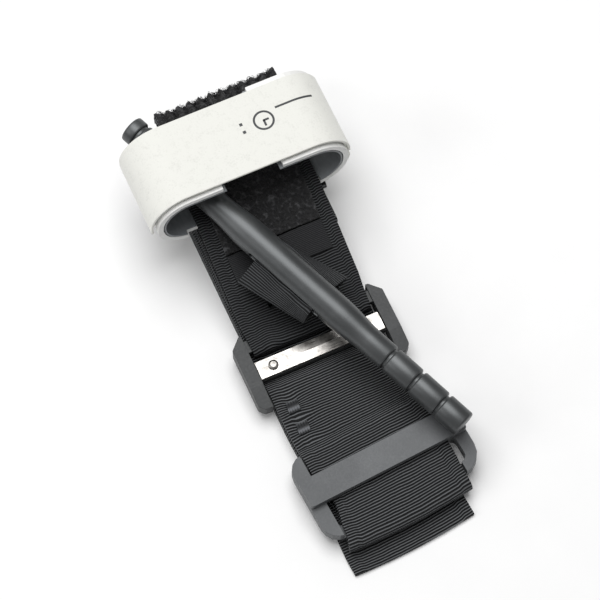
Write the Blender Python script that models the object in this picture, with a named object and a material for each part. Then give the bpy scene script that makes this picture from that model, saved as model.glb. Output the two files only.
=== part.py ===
# Folded windlass tourniquet: a 38 mm band folded under a two-layer sleeve, with a windlass rod
# lying through a C-shaped clip that a hook-and-loop strap closes, and two buckles on the band.
# Dimensions below are in millimetres. +X across the band, +Y towards the clip end, +Z up.
import math
import bmesh
import bpy
from mathutils import Matrix, Vector

MM = 0.001
GAP = 0.3                      # clearance between neighbouring pieces
ORIGIN_X = -1.34               # middle of the whole object, in the layout used below
ORIGIN_Y = -3.09

BAND_WIDTH = 38.0
BAND_THICK = 1.3
LAYER_PITCH = BAND_THICK + GAP
SLEEVE_THICK = 0.7
SLEEVE_X = 0.4                 # middle of the sleeve
BAND_X = 0.3                   # middle of the band at the buckles

CLIP_X = -1.0
CLIP_WIDTH = 59.0
CLIP_HEIGHT = 22.0
CLIP_CORNER = 10.4
CLIP_WALL = 1.6
CLIP_FRONT = 30.2
CLIP_BASE_FRONT = 31.7         # the base starts further back, clear of the sleeve's slope
CLIP_BACK = 57.0
CLIP_BASE = 17.4               # underside of the clip
CLIP_GAP = 18.4                # opening between the two arms
CLIP_LEFT_BACK = 54.1          # the left arm is a little shorter than the right one
LINER_THICK = 0.5

STRAP_THICK = 0.8
STRAP_FRONT = 31.1
STRAP_BACK = 54.9
STRAP_HINGE_Z = CLIP_BASE + 0.5 * CLIP_HEIGHT

SLEEVE_TOP_Z = CLIP_BASE + CLIP_WALL + GAP + LINER_THICK + GAP + 0.5 * SLEEVE_THICK
SLEEVE_BOTTOM_Z = 14.7
SLEEVE_END_Y = 63.5
SLEEVE_BEND_Y = 30.4           # where the sleeve starts down its slope
SLEEVE_LOW_Y = -1.5            # where the sleeve meets buckle one
SLEEVE_LOW_TOP_Z = 9.0
SLEEVE_LOW_BOTTOM_Z = 5.2

ROD_LENGTH = 128.0
ROD_MID = Vector((0.1, 4.7, 23.5))
ROD_YAW = 23.3                 # degrees from -Y towards +X
ROD_DROP = 5.9                 # degrees down towards the -Y end
ROD_RADIUS = 4.75
ROD_END_RADIUS = 4.0
ROD_FULL_HALF = 16.8
ROD_TAPER_HALF = 28.5
ROD_SLOT_LENGTH = 27.0
ROD_SLOT_HEIGHT = 2.4
GROOVE_WIDTH = 0.9
GROOVE_DEPTH = 0.5
GROOVE_SHOULDER = 0.35
GROOVES_LOW_END = (8.3, 18.0, 27.7)     # from the -Y tip
GROOVES_CLIP_END = (3.8, 13.5, 23.2)    # from the +Y tip

RIBBON_WIDTH = 23.0
RIBBON_THICK = 0.9
SLIT_Y = 4.2

BUCKLE1_HALF = 23.6
BUCKLE1_INNER = 19.6
BUCKLE1_TOP_Y = -0.7
BUCKLE1_LOW_Y = -23.6
BUCKLE1_BOTTOM_Z = 3.3
BUCKLE1_TOP_Z = 8.7

BUCKLE2_LEFT = 24.1
BUCKLE2_RIGHT = 25.4
BUCKLE2_INNER = 19.6
BUCKLE2_SLOT_RIGHT = 21.6      # the lower slot is wider than the band on the right
BUCKLE2_TOP_Y = -39.0
BUCKLE2_LOW_Y = -65.4
BUCKLE2_PIVOT_Y = -50.6
BUCKLE2_BOTTOM_Z = 4.0

FLEX_Y = -28.9                 # line where the lower end bends
FLEX_GAP = 0.6
LOWER_YAW = 4.0                # degrees that the lower end lies askew
LOWER_BEND = 8.0               # length over which the band takes up that yaw
BAND_OVER_BAR_Z = 5.65
BAND_IN_BUCKLE2_Z = 6.85
FOLD_Y = -68.9
BAND_END_Y = -75.2

COLOURS = {
    "black_webbing": ((0.012, 0.012, 0.014), 0.85, 0.0),
    "black_pile": ((0.008, 0.008, 0.009), 0.95, 0.0),
    "black_anodised": ((0.045, 0.048, 0.052), 0.32, 1.0),
    "white_tape": ((0.90, 0.90, 0.88), 0.80, 0.0),
    "white_plastic": ((0.86, 0.86, 0.85), 0.42, 0.0),
    "grey_plastic": ((0.09, 0.095, 0.10), 0.45, 0.0),
    "black_plastic": ((0.03, 0.032, 0.034), 0.50, 0.0),
    "polished_steel": ((0.75, 0.75, 0.74), 0.18, 1.0),
}


def clear_scene():
    for old in list(bpy.data.objects):
        bpy.data.objects.remove(old, do_unlink=True)


def material(name):
    found = bpy.data.materials.get(name)
    if found:
        return found
    colour, roughness, metallic = COLOURS[name]
    made = bpy.data.materials.new(name)
    made.use_nodes = True
    shader = made.node_tree.nodes["Principled BSDF"]
    shader.inputs["Base Color"].default_value = (*colour, 1.0)
    shader.inputs["Roughness"].default_value = roughness
    shader.inputs["Metallic"].default_value = metallic
    return made


def finish_mesh(name, mesh_builder, finish, smooth_angle=None):
    # millimetres in the builder become metres here, shifted to the object's own origin
    shift = Matrix.Translation((-ORIGIN_X, -ORIGIN_Y, 0.0))
    bmesh.ops.transform(mesh_builder, matrix=Matrix.Scale(MM, 4) @ shift, verts=mesh_builder.verts)
    bmesh.ops.recalc_face_normals(mesh_builder, faces=mesh_builder.faces)
    mesh = bpy.data.meshes.new(name)
    mesh_builder.to_mesh(mesh)
    mesh_builder.free()
    mesh.materials.append(material(finish))
    if smooth_angle:
        mesh.shade_smooth()
        mesh.set_sharp_from_angle(angle=math.radians(smooth_angle))
    made = bpy.data.objects.new(name, mesh)
    bpy.context.scene.collection.objects.link(made)
    return made


def put_origin(piece, x, y, z):
    # move the object's origin to a joint's axis without moving the mesh
    point = Vector((x - ORIGIN_X, y - ORIGIN_Y, z)) * MM
    piece.data.transform(Matrix.Translation(-point))
    piece.location = point


def combine(target, operands, operation):
    for other in operands:
        step = target.modifiers.new(operation.lower(), "BOOLEAN")
        step.operation = operation
        step.solver = "EXACT"
        step.object = other
        bpy.context.view_layer.update()
        graph = bpy.context.evaluated_depsgraph_get()
        result = bpy.data.meshes.new_from_object(target.evaluated_get(graph))
        target.modifiers.clear()
        old = target.data
        target.data = result
        result.name = old.name
        bpy.data.meshes.remove(old)
        bpy.data.objects.remove(other, do_unlink=True)
    return target


def round_edges(piece, width, segments=2, angle=40.0):
    bevel = piece.modifiers.new("rounded edges", "BEVEL")
    bevel.width = width * MM
    bevel.segments = segments
    bevel.limit_method = "ANGLE"
    bevel.angle_limit = math.radians(angle)
    bevel.use_clamp_overlap = True
    return piece


def filleted(corners, steps=4):
    # corners are (u, v, radius); each inner corner becomes an arc of that radius
    points = [Vector(corners[0][:2])]
    for before, corner, after in zip(corners, corners[1:], corners[2:]):
        here = Vector(corner[:2])
        back = (Vector(before[:2]) - here).normalized()
        ahead = (Vector(after[:2]) - here).normalized()
        turn = math.pi - back.angle(ahead)
        if corner[2] <= 0.0 or turn < 0.02:
            points.append(here)
            continue
        reach = corner[2] * math.tan(0.5 * turn)
        centre = here + (back + ahead).normalized() * (corner[2] / math.cos(0.5 * turn))
        start = here + back * reach - centre
        side = 1.0 if back.x * ahead.y - back.y * ahead.x < 0.0 else -1.0
        for step in range(steps + 1):
            angle = side * turn * step / steps
            spun = Vector((start.x * math.cos(angle) - start.y * math.sin(angle),
                           start.x * math.sin(angle) + start.y * math.cos(angle)))
            points.append(centre + spun)
    points.append(Vector(corners[-1][:2]))
    return points


def offset_pairs(points, thickness):
    # both faces of a strip that follows the points
    pairs = []
    last = len(points) - 1
    for index, point in enumerate(points):
        arriving = (point - points[max(index - 1, 0)])
        leaving = (points[min(index + 1, last)] - point)
        if index == 0:
            arriving = leaving
        if index == last:
            leaving = arriving
        arriving = arriving.normalized()
        leaving = leaving.normalized()
        along = (arriving + leaving).normalized()
        normal = Vector((-along.y, along.x))
        stretch = 1.0 / max(normal.dot(Vector((-arriving.y, arriving.x))), 0.5)
        half = 0.5 * thickness * stretch
        pairs.append((point + normal * half, point - normal * half))
    return pairs


def strip(name, finish, points, thickness, low, high, place, smooth_angle=35.0):
    # a flat band of even thickness; place(u, v, w) turns strip coordinates into a point
    builder = bmesh.new()
    rings = []
    for index, (outer, inner) in enumerate(offset_pairs(points, thickness)):
        lift = index / (len(points) - 1)
        ring = [builder.verts.new(place(spot.x, spot.y, side, lift))
                for spot, side in ((outer, low), (outer, high), (inner, high), (inner, low))]
        rings.append(ring)
    for first, second in zip(rings, rings[1:]):
        for corner in range(4):
            following = (corner + 1) % 4
            builder.faces.new((first[corner], first[following], second[following], second[corner]))
    builder.faces.new(rings[0])
    builder.faces.new(reversed(rings[-1]))
    return finish_mesh(name, builder, finish, smooth_angle)


def along_band(middle):
    # strip lying along Y with its width along X
    def place(u, v, w, lift):
        return Vector((middle + w, u, v))
    return place


def drifting_band(start_middle, end_middle):
    # the same, with the folded layers drifting sideways along the band
    def place(u, v, w, lift):
        return Vector((start_middle + (end_middle - start_middle) * min(1.0, 1.4 * lift) + w, u, v))
    return place


def lower_end_point(x, y, z):
    # the lower end curves through LOWER_YAW just past the flex line
    run = FLEX_Y - y
    yaw = math.radians(LOWER_YAW)
    if run <= 0.0:
        return Vector((BAND_X + x, y, z))
    bent = min(run, LOWER_BEND)
    radius = LOWER_BEND / yaw
    angle = bent / radius
    centre_x = BAND_X + radius * (1.0 - math.cos(angle)) + (run - bent) * math.sin(angle)
    centre_y = FLEX_Y - radius * math.sin(angle) - (run - bent) * math.cos(angle)
    return Vector((centre_x + x * math.cos(angle), centre_y + x * math.sin(angle), z))


def along_lower_end(u, v, w, lift):
    return lower_end_point(w, u, v)


def with_bend_steps(corners):
    # extra points on a straight run so that it can follow the lower end's yaw
    steps = []
    for part in range(1, 5):
        steps.append((FLEX_Y - LOWER_BEND * part / 4, corners[0][1], 0.0))
    return [corners[0]] + steps + corners[1:]


def across_clip(u, v, w, lift):
    # strip bent in the XZ plane with its width along Y
    return Vector((u, w, v))


def box(name, finish, low, high):
    builder = bmesh.new()
    bmesh.ops.create_cube(builder, size=1.0)
    size = [b - a for a, b in zip(low, high)]
    middle = [0.5 * (a + b) for a, b in zip(low, high)]
    matrix = Matrix.Translation(middle) @ Matrix.Diagonal((*size, 1.0))
    bmesh.ops.transform(builder, matrix=matrix, verts=builder.verts)
    return finish_mesh(name, builder, finish)


def slab(name, finish, outline, low_z, high_z, place=None):
    # a flat outline of (x, y, radius) corners raised between two heights
    closed = [outline[-1]] + list(outline) + [outline[0]]
    points = filleted(closed)[1:-1]
    builder = bmesh.new()
    bottom = [builder.verts.new((p.x, p.y, low_z)) for p in points]
    face = builder.faces.new(bottom)
    raised = bmesh.ops.extrude_face_region(builder, geom=[face])
    tops = [item for item in raised["geom"] if isinstance(item, bmesh.types.BMVert)]
    bmesh.ops.translate(builder, vec=(0.0, 0.0, high_z - low_z), verts=tops)
    if place:
        for vert in builder.verts:
            vert.co = place(vert.co.x, vert.co.y, vert.co.z)
    return finish_mesh(name, builder, finish, 35.0)


def turned(profile, segments, matrix):
    # a solid of revolution about local X from (x, radius) points, closed on the axis
    builder = bmesh.new()
    verts = [builder.verts.new((x, radius, 0.0)) for x, radius in profile]
    edges = [builder.edges.new(pair) for pair in zip(verts, verts[1:])]
    bmesh.ops.spin(builder, geom=verts + edges, cent=(0, 0, 0), axis=(1, 0, 0),
                   angle=2.0 * math.pi, steps=segments, use_merge=True)
    bmesh.ops.remove_doubles(builder, verts=builder.verts, dist=0.0005)
    bmesh.ops.transform(builder, matrix=matrix, verts=builder.verts)
    return builder


def clip_corners(inset, reach):
    # middle line of the C from the left arm's end round the base to the right arm's end
    half = 0.5 * CLIP_WIDTH - inset
    low = CLIP_BASE + inset
    high = CLIP_BASE + CLIP_HEIGHT - inset
    radius = CLIP_CORNER - inset
    end = 0.5 * CLIP_GAP - reach
    return [(CLIP_X - end, high, 0.0), (CLIP_X - half, high, radius), (CLIP_X - half, low, radius),
            (CLIP_X + half, low, radius), (CLIP_X + half, high, radius), (CLIP_X + end, high, 0.0)]


def clip_rivet_spots():
    return [(CLIP_X - 9.0, 44.5), (CLIP_X + 9.0, 44.5)]


def upright(x, y, z=0.0):
    # local X of a turned piece becomes +Z
    return Matrix.Translation((x, y, z)) @ Matrix.Rotation(math.radians(-90.0), 4, "Y")


def drill(piece, spots, radius, low_z, high_z):
    for x, y in spots:
        hole = turned([(low_z, 0.0), (low_z, radius), (high_z, radius), (high_z, 0.0)], 16, upright(x, y))
        cutter = finish_mesh("cutter", hole, "black_plastic")
        combine(piece, [cutter], "DIFFERENCE")
    return piece


def trim_arm_and_base(piece):
    arm = box("cutter", "white_plastic", (CLIP_X - CLIP_WIDTH, CLIP_LEFT_BACK, 0.0),
              (CLIP_X - 0.25 * CLIP_GAP, CLIP_BACK + 5.0, 60.0))
    half = 0.5 * BAND_WIDTH + 1.8
    base = box("cutter", "white_plastic", (CLIP_X - half, CLIP_FRONT - 5.0, 0.0),
               (CLIP_X + half, CLIP_BASE_FRONT, CLIP_BASE + 4.0))
    combine(piece, [arm, base], "DIFFERENCE")


def make_clip():
    wall = filleted(clip_corners(0.5 * CLIP_WALL, 0.0), steps=8)
    clip = strip("windlass_clip", "white_plastic", wall, CLIP_WALL, CLIP_FRONT, CLIP_BACK, across_clip)
    drill(clip, clip_rivet_spots(), 1.6, CLIP_BASE - 1.0, CLIP_BASE + CLIP_WALL + 1.0)
    trim_arm_and_base(clip)
    inset = CLIP_WALL + GAP + 0.5 * LINER_THICK
    inner = filleted(clip_corners(inset, 1.0), steps=8)
    liner = strip("clip_liner", "grey_plastic", inner, LINER_THICK, CLIP_FRONT, CLIP_BACK, across_clip)
    drill(liner, clip_rivet_spots(), 2.6, CLIP_BASE, CLIP_BASE + CLIP_WALL + 2.0)
    trim_arm_and_base(liner)
    return clip, liner


def make_clip_rivets():
    top = CLIP_BASE + CLIP_WALL + GAP + LINER_THICK
    low = CLIP_BASE - GAP - 1.0
    profile = [(low, 0.0), (low, 1.9), (low + 0.4, 1.9), (low + 0.7, 1.3), (top - 0.75, 1.3),
               (top - 0.45, 2.2), (top, 2.2), (top, 0.0)]
    for side, spot in zip(("left", "right"), clip_rivet_spots()):
        rivet = turned(profile, 16, upright(*spot))
        finish_mesh("clip_rivet_" + side, rivet, "polished_steel", 35.0)


def strap_line(offset_hinge, offset_top, start_turn, end_turn, steps):
    # offset line round the outside of the clip from the right side over the top to the left side;
    # turns are in degrees, 0 at the right-hand widest line, 180 at the left-hand one
    points = []
    half = 0.5 * CLIP_WIDTH - CLIP_CORNER
    level = CLIP_BASE + CLIP_HEIGHT - CLIP_CORNER
    rise = level - STRAP_HINGE_Z
    for step in range(steps + 1):
        turn = start_turn + (end_turn - start_turn) * step / steps
        share = min(1.0, max(0.0, turn / 60.0))
        offset = offset_hinge + (offset_top - offset_hinge) * share
        radius = CLIP_CORNER + offset
        angle = math.radians(turn)
        side = half if turn < 90.0 else -half
        lift = rise if 0.0 < turn < 180.0 else -rise
        points.append(Vector((CLIP_X + side + radius * math.cos(angle),
                              STRAP_HINGE_Z + lift + radius * math.sin(angle))))
        if turn <= 90.0 < turn + (end_turn - start_turn) / steps:
            points.append(Vector((CLIP_X - half, points[-1].y)))
    return points


def make_strap():
    over = strap_line(0.3 + 0.5 * STRAP_THICK, 1.0 + 0.5 * STRAP_THICK, 1.5, 186.0, 41)
    strap = strip("securing_strap", "white_tape", over, STRAP_THICK, STRAP_FRONT, STRAP_BACK, across_clip)
    put_origin(strap, CLIP_X + 0.5 * CLIP_WIDTH + 0.7, 0.5 * (STRAP_FRONT + STRAP_BACK), STRAP_HINGE_Z)
    under = strap_line(0.3 + 0.5 * STRAP_THICK, 0.3 + 0.5 * STRAP_THICK, -2.5, -72.0, 10)
    anchor = strip("strap_anchor", "white_tape", under, STRAP_THICK, STRAP_FRONT, STRAP_BACK, across_clip)
    pad = strap_line(0.5, 0.5, 100.0, 178.0, 12)
    hook_pad = strip("clip_hook_pad", "white_tape", pad, 0.4, STRAP_FRONT + 1.0, CLIP_LEFT_BACK - 0.5,
                     across_clip)
    return strap, anchor, hook_pad


def sleeve_top_corners(raised):
    slope = (SLEEVE_TOP_Z - SLEEVE_LOW_TOP_Z) / (SLEEVE_BEND_Y - SLEEVE_LOW_Y)
    return slope, [(SLEEVE_END_Y, SLEEVE_TOP_Z - 2.2 + raised, 0.0),
                   (CLIP_BACK + 1.6, SLEEVE_TOP_Z + raised, 6.0),
                   (SLEEVE_BEND_Y, SLEEVE_TOP_Z + raised, 12.0),
                   (SLEEVE_LOW_Y, SLEEVE_LOW_TOP_Z + raised, 0.0)]


def make_sleeve():
    half = 0.5 * BAND_WIDTH
    slope, corners = sleeve_top_corners(0.0)
    top = strip("sleeve_top", "black_webbing", filleted(corners), SLEEVE_THICK, -half, half,
                along_band(SLEEVE_X))
    slit_half = 0.5 * RIBBON_WIDTH + 1.0
    slit = box("cutter", "black_webbing", (SLEEVE_X - slit_half, SLIT_Y - 1.9, 5.0),
               (SLEEVE_X + slit_half, SLIT_Y + 1.9, 15.0))
    combine(top, [slit], "DIFFERENCE")
    low = [(SLEEVE_END_Y, SLEEVE_BOTTOM_Z, 0.0), (30.0, SLEEVE_BOTTOM_Z, 12.0),
           (SLEEVE_LOW_Y, SLEEVE_LOW_BOTTOM_Z, 0.0)]
    bottom = strip("sleeve_bottom", "black_webbing", filleted(low), 0.6, -half, half,
                   along_band(SLEEVE_X))
    bar_y = -4.1
    loop = [(SLEEVE_LOW_Y - GAP, SLEEVE_LOW_TOP_Z - 0.1, 0.0), (bar_y - 3.2, SLEEVE_LOW_TOP_Z - 0.3, 1.4),
            (bar_y - 3.2, SLEEVE_LOW_BOTTOM_Z, 1.4), (SLEEVE_LOW_Y - GAP, SLEEVE_LOW_BOTTOM_Z, 0.0)]
    end = strip("sleeve_end_loop", "black_webbing", filleted(loop, 5), 0.6, -half + 0.6, half - 0.6,
                along_band(BAND_X + 0.3))
    return top, bottom, end


def make_plate():
    line = filleted([(62.0, CLIP_BASE - GAP - 0.5, 0.0), (30.2, CLIP_BASE - GAP - 0.5, 14.0),
                     (8.0, 10.4, 0.0)])
    plate = strip("stiffener_plate", "grey_plastic", line, 1.0, -16.5, 16.5, along_band(SLEEVE_X))
    return drill(plate, clip_rivet_spots(), 2.3, CLIP_BASE - 3.0, CLIP_BASE)


def make_patches():
    slope, corners = sleeve_top_corners(0.5 * SLEEVE_THICK + GAP + 0.5)
    along = corners[2]
    patch_low = 20.3
    drop = (along[0] - patch_low) * slope
    line = [(CLIP_BACK - 1.0, along[1], 0.0), (along[0], along[1], 12.0), (patch_low, along[1] - drop, 0.0)]
    patch = strip("hook_patch", "black_pile", filleted(line), 1.0, -14.8, 14.8, along_band(SLEEVE_X))
    cover_z = along[1] - 0.27        # its top stays just below the patch's
    ends = (patch_low - 0.5, 11.5)
    flat = [Vector((y, cover_z - (along[0] - y) * slope)) for y in ends]
    cover = strip("cover_patch", "black_webbing", flat, 0.5, -14.8, 14.8, along_band(SLEEVE_X))
    return patch, cover


def make_ribbon():
    # the inner ribbon comes up through the sleeve's slit from both sides
    half = 0.5 * RIBBON_WIDTH
    clip_side = filleted([(61.0, 15.55, 0.0), (30.0, 15.55, 12.0), (SLIT_Y + 0.8, 7.9, 0.8),
                          (SLIT_Y + 0.8, 12.9, 0.0)])
    first = strip("ribbon_clip_side", "black_webbing", clip_side, 0.5, -half, half, along_band(SLEEVE_X))
    buckle_side = filleted([(-0.9, 6.65, 0.0), (SLIT_Y - 0.8, 7.5, 0.8), (SLIT_Y - 0.8, 12.9, 0.0)])
    second = strip("ribbon_buckle_side", "black_webbing", buckle_side, 0.5, -half, half,
                   along_band(SLEEVE_X))
    return first, second


def rod_matrix():
    # local X runs from the clip end to the low end
    heading = Matrix.Rotation(math.radians(ROD_YAW - 90.0), 4, "Z")
    drop = Matrix.Rotation(math.radians(ROD_DROP), 4, "Y")
    return Matrix.Translation(ROD_MID) @ heading @ drop


def groove(at, radius):
    # a rounded-shoulder groove across the rod, as profile points in order of x
    half = 0.5 * GROOVE_WIDTH
    edge = half + GROOVE_SHOULDER
    return [(at - edge, radius), (at - half, radius - GROOVE_SHOULDER),
            (at - 0.6 * half, radius - GROOVE_DEPTH), (at + 0.6 * half, radius - GROOVE_DEPTH),
            (at + half, radius - GROOVE_SHOULDER), (at + edge, radius)]


def rod_profile():
    end = 0.5 * ROD_LENGTH
    profile = [(-end, 0.0), (-end, ROD_END_RADIUS - 0.9), (-end + 0.25, ROD_END_RADIUS - 0.35),
               (-end + 0.8, ROD_END_RADIUS)]
    for distance in GROOVES_CLIP_END:
        profile += groove(-end + distance, ROD_END_RADIUS)
    taper = ROD_TAPER_HALF - ROD_FULL_HALF
    for side in (-1.0, 1.0):
        shares = range(0, 7) if side < 0 else range(6, -1, -1)
        for share in shares:
            part = share / 6
            ease = part * part * (3.0 - 2.0 * part)
            radius = ROD_END_RADIUS + (ROD_RADIUS - ROD_END_RADIUS) * ease
            profile.append((side * (ROD_TAPER_HALF - taper * part), radius))
    for distance in reversed(GROOVES_LOW_END):
        profile += groove(end - distance, ROD_END_RADIUS)
    profile += [(end - 0.8, ROD_END_RADIUS), (end - 0.25, ROD_END_RADIUS - 0.35),
                (end, ROD_END_RADIUS - 0.9), (end, 0.0)]
    return profile


def make_rod():
    builder = turned(rod_profile(), 28, rod_matrix())
    rod = finish_mesh("windlass_rod", builder, "black_anodised", 30.0)
    end, side = 0.5 * ROD_SLOT_LENGTH, 0.5 * ROD_SLOT_HEIGHT
    rounding = side - 0.1
    hole = [(-end, side, rounding), (-end, -side, rounding), (end, -side, rounding), (end, side, rounding)]
    matrix = rod_matrix() @ Matrix.Rotation(math.radians(90.0), 4, "X")
    cutter = slab("cutter", "black_anodised", hole, -8.0, 8.0, lambda x, y, z: matrix @ Vector((x, y, z)))
    combine(rod, [cutter], "DIFFERENCE")
    put_origin(rod, *ROD_MID)
    return rod


def make_ribbon_loop():
    # the ribbon leaves the slit, folds out past the rod and comes back through its slot
    low = -7.5
    corners = [(-1.2, low, 0.0), (-3.0, -6.7, 0.5), (-12.2, -4.6, 0.9), (-5.8, 0.0, 2.0),
               (5.8, 0.0, 2.0), (10.6, -4.0, 0.9), (3.0, -6.7, 0.5), (1.2, low, 0.0)]
    matrix = rod_matrix()

    def place(u, v, w, lift):
        return matrix @ Vector((w, u, v))

    half = 0.5 * RIBBON_WIDTH
    loop = strip("ribbon_loop", "black_webbing", filleted(corners), RIBBON_THICK, -half, half, place)
    put_origin(loop, *ROD_MID)
    return loop


def side_bar(name, sign, middle, inner, outer, top_y, low_y, bevel_top, bevel_low, low_z, high_z):
    outline = [(middle + sign * inner, top_y, 0.0), (middle + sign * (outer - bevel_top), top_y, 0.6),
               (middle + sign * outer, top_y - bevel_top, 0.6),
               (middle + sign * outer, low_y + bevel_low, bevel_low * 0.6),
               (middle + sign * (outer - bevel_low), low_y, bevel_low * 0.6),
               (middle + sign * inner, low_y, 0.0)]
    return slab(name, "black_plastic", outline, low_z, high_z)


def make_buckle_one():
    parts = []
    for sign in (-1.0, 1.0):
        parts.append(side_bar("part", sign, BAND_X, BUCKLE1_INNER, BUCKLE1_HALF, BUCKLE1_TOP_Y,
                              BUCKLE1_LOW_Y, 3.2, 1.6, BUCKLE1_BOTTOM_Z, BUCKLE1_TOP_Z))
    reach = BUCKLE1_INNER + 1.2
    bars = ((-6.1, -2.3, 6.0, 8.0), (-15.2, -9.4, 4.9, 6.6), (-23.2, -19.8, 3.3, 4.7))
    for low_y, high_y, low_z, high_z in bars:
        parts.append(box("part", "black_plastic", (BAND_X - reach, low_y, low_z),
                         (BAND_X + reach, high_y, high_z)))
    frame = combine(parts[0], parts[1:], "UNION")
    frame.name = "buckle_one_frame"
    # the side bars fall away towards the lower end
    wedge = box("cutter", "black_plastic", (-40.0, -24.0, 0.0), (40.0, 12.0, 8.0))
    tilt = Matrix.Translation(Vector((-ORIGIN_X, -16.5 - ORIGIN_Y, 8.7)) * MM)
    turn = Matrix.Rotation(math.radians(11.0), 4, "X")
    wedge.data.transform(tilt @ turn @ Matrix.Translation(Vector((ORIGIN_X, ORIGIN_Y - 12.0, 0.0)) * MM))
    combine(frame, [wedge], "DIFFERENCE")
    drill(frame, buckle_rivet_spots(), 1.2, 3.0, 8.0)
    return round_edges(frame, 0.35)


def buckle_rivet_spots():
    return [(BAND_X - 14.6, -12.4), (BAND_X + 14.6, -12.4)]


def make_steel_bar():
    # a pressed plate with a shallow crease along its middle
    half = BUCKLE1_INNER - GAP
    low, high = 6.9, 8.0
    front, back, middle = -15.0, -9.6, -12.3
    crest = 0.25
    outline = [(front, low), (back, low), (back, high), (middle, high + crest), (front, high)]
    builder = bmesh.new()
    left = [builder.verts.new((BAND_X - half, y, z)) for y, z in outline]
    right = [builder.verts.new((BAND_X + half, y, z)) for y, z in outline]
    builder.faces.new(left)
    builder.faces.new(reversed(right))
    for index in range(len(outline)):
        after = (index + 1) % len(outline)
        builder.faces.new((left[index], right[index], right[after], left[after]))
    bar = finish_mesh("buckle_one_steel_bar", builder, "polished_steel")
    return drill(bar, buckle_rivet_spots(), 1.2, 6.0, 10.0)


def make_buckle_rivets():
    profile = [(4.9, 0.0), (4.9, 0.9), (8.55, 0.9), (8.55, 1.5), (8.8, 1.4), (9.05, 0.9), (9.15, 0.0)]
    for side, spot in zip(("left", "right"), buckle_rivet_spots()):
        rivet = turned(profile, 16, upright(*spot))
        finish_mesh("buckle_one_rivet_" + side, rivet, "polished_steel", 35.0)


def make_buckle_two():
    # built straight, then turned with the lower end
    outline = [(-BUCKLE2_LEFT, BUCKLE2_TOP_Y, 5.0), (-BUCKLE2_LEFT, BUCKLE2_LOW_Y, 5.5),
               (BUCKLE2_RIGHT, BUCKLE2_LOW_Y, 6.5), (BUCKLE2_RIGHT, BUCKLE2_TOP_Y, 5.5)]
    frame = slab("buckle_two_frame", "black_plastic", outline, BUCKLE2_BOTTOM_Z, 8.0)
    cuts = []
    upper = (-46.3, BUCKLE2_TOP_Y - 3.4, BUCKLE2_INNER)
    lower = (BUCKLE2_LOW_Y + 3.4, -54.4, BUCKLE2_SLOT_RIGHT)
    for low_y, high_y, right in upper, lower:
        window = [(-BUCKLE2_INNER, high_y, 1.9), (-BUCKLE2_INNER, low_y, 1.9),
                  (right, low_y, 1.9), (right, high_y, 1.9)]
        cuts.append(slab("cutter", "black_plastic", window, 0.0, 20.0))
    # room for the band above both outer bars and all of the way under the raised one
    cuts.append(box("cutter", "black_plastic", (-BUCKLE2_INNER, -80.0, 5.3), (BUCKLE2_INNER, -30.0, 20.0)))
    cuts.append(box("cutter", "black_plastic", (-BUCKLE2_INNER, -58.0, -1.0), (BUCKLE2_INNER, -44.0, 20.0)))
    combine(frame, cuts, "DIFFERENCE")
    bar = [(-BUCKLE2_LEFT, -46.5, 0.8), (-BUCKLE2_LEFT, -54.7, 0.8),
           (BUCKLE2_RIGHT, -54.7, 0.8), (BUCKLE2_RIGHT, -46.5, 0.8)]
    raised = slab("part", "black_plastic", bar, 7.2, 10.3)
    under = box("cutter", "black_plastic", (-BUCKLE2_INNER, -60.0, 0.0), (BUCKLE2_INNER, -40.0, 8.1))
    combine(raised, [under], "DIFFERENCE")
    combine(frame, [raised], "UNION")
    turn_with_lower_end(frame)
    round_edges(frame, 0.45)
    pivot = lower_end_point(0.0, BUCKLE2_PIVOT_Y, 7.0)
    put_origin(frame, *pivot)
    return frame


def turn_with_lower_end(piece):
    for vert in piece.data.vertices:
        spot = vert.co / MM
        placed = lower_end_point(spot.x + ORIGIN_X, spot.y + ORIGIN_Y, spot.z)
        vert.co = (placed - Vector((ORIGIN_X, ORIGIN_Y, 0.0))) * MM


def layer_z(number):
    # middle of a folded layer, counted from the one on the ground
    return 0.5 * BAND_THICK + LAYER_PITCH * number


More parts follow.
